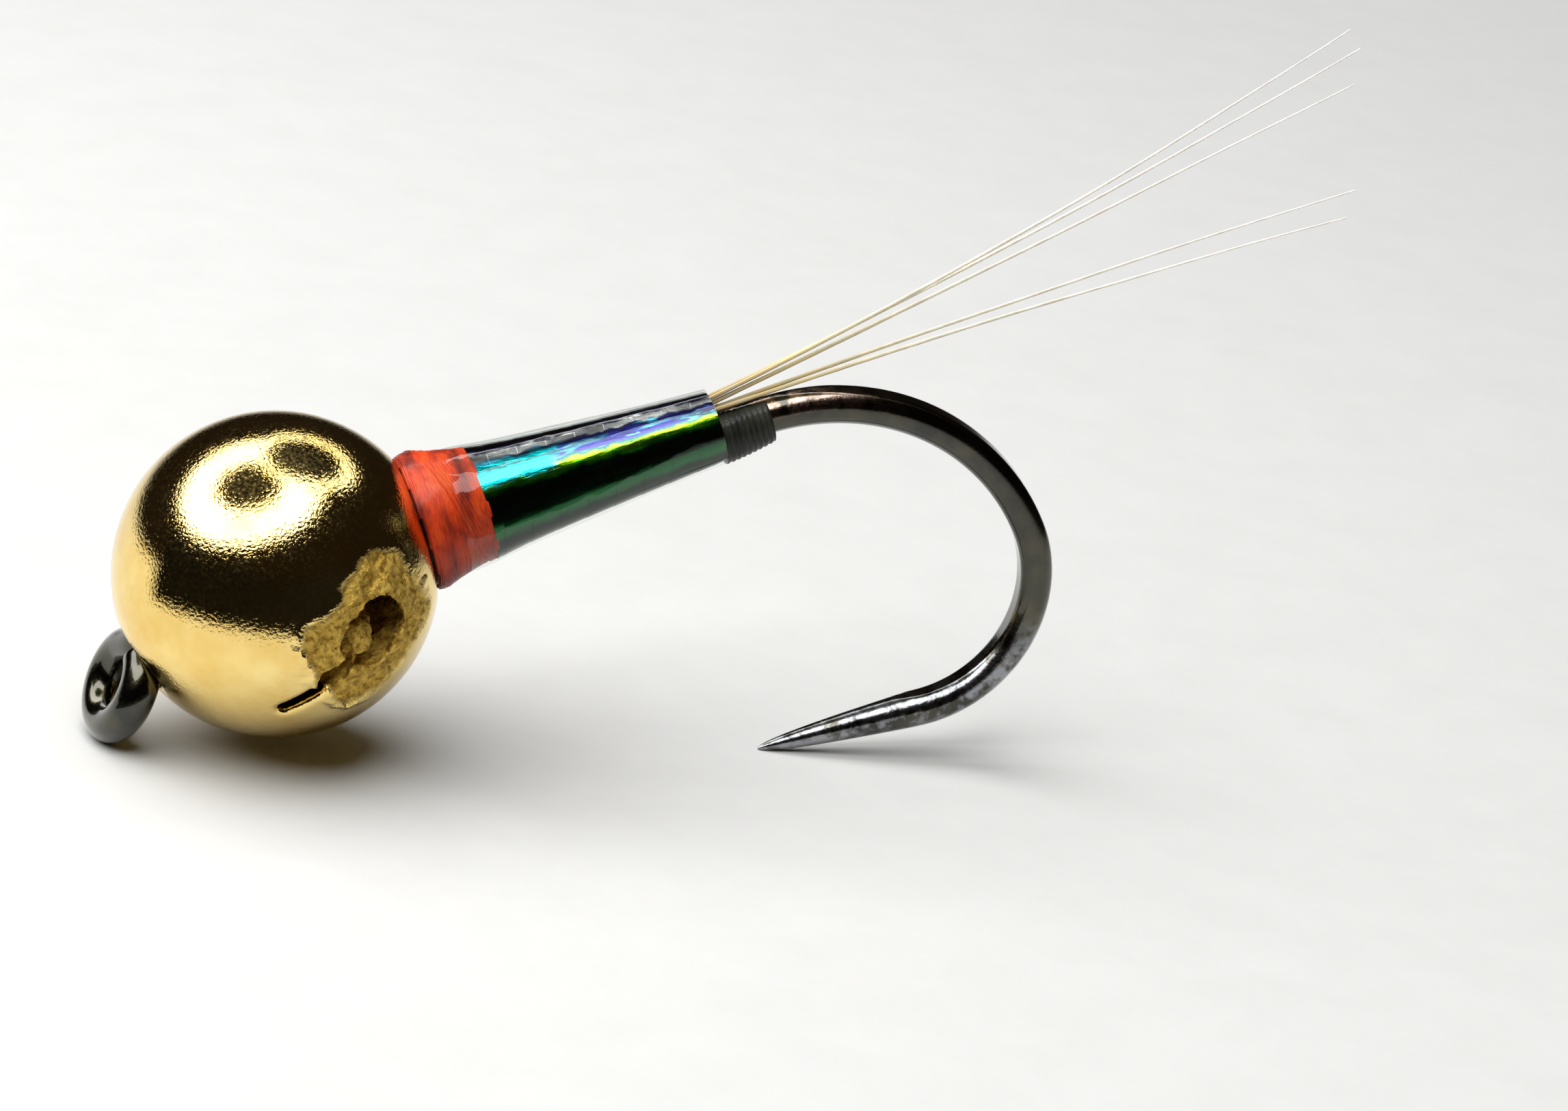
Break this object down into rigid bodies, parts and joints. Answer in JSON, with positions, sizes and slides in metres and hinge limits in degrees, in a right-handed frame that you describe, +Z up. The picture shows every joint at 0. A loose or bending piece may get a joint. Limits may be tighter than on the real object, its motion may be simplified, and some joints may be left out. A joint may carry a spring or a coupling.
{
  "type": "beaded jig nymph fly",
  "caption": "Fishing fly tied on a bent-eye jig hook: a slotted metal bead, a tapered ribbed body under clear resin, a thread collar and a fibre tail.",
  "frame": {"origin": "centre of the hook's eye, where the line is tied on", "axes": "+X from the eye towards the bend, +Z up away from the hook point, hook in the XZ plane, pitched so the eye and the point stand on one level"},
  "size_m": [0.0178, 0.0046, 0.0115],
  "materials": {
    "hook_wire": "polished black nickel plate",
    "bead_metal": "bright gold plate with a fine pebbled grain",
    "dark_thread": "waxed tying thread",
    "bright_thread": "orange red tying thread under resin",
    "tinsel": "iridescent film that turns from green to violet",
    "resin": "clear glossy cured resin",
    "tail_fibre": "pale straw feather fibre"
  },
  "bodies": {
    "root": {"jig_hook": "hook_wire", "slotted_bead": "bead_metal", "underbody_thread": "dark_thread", "collar_thread": "bright_thread", "body_tinsel": "tinsel", "resin_coat": "resin", "tail_binding_thread": "dark_thread", "tail_fibre_1": "tail_fibre", "tail_fibre_2": "tail_fibre", "tail_fibre_3": "tail_fibre", "tail_fibre_4": "tail_fibre", "tail_fibre_5": "tail_fibre"}
  },
  "joints": []
}
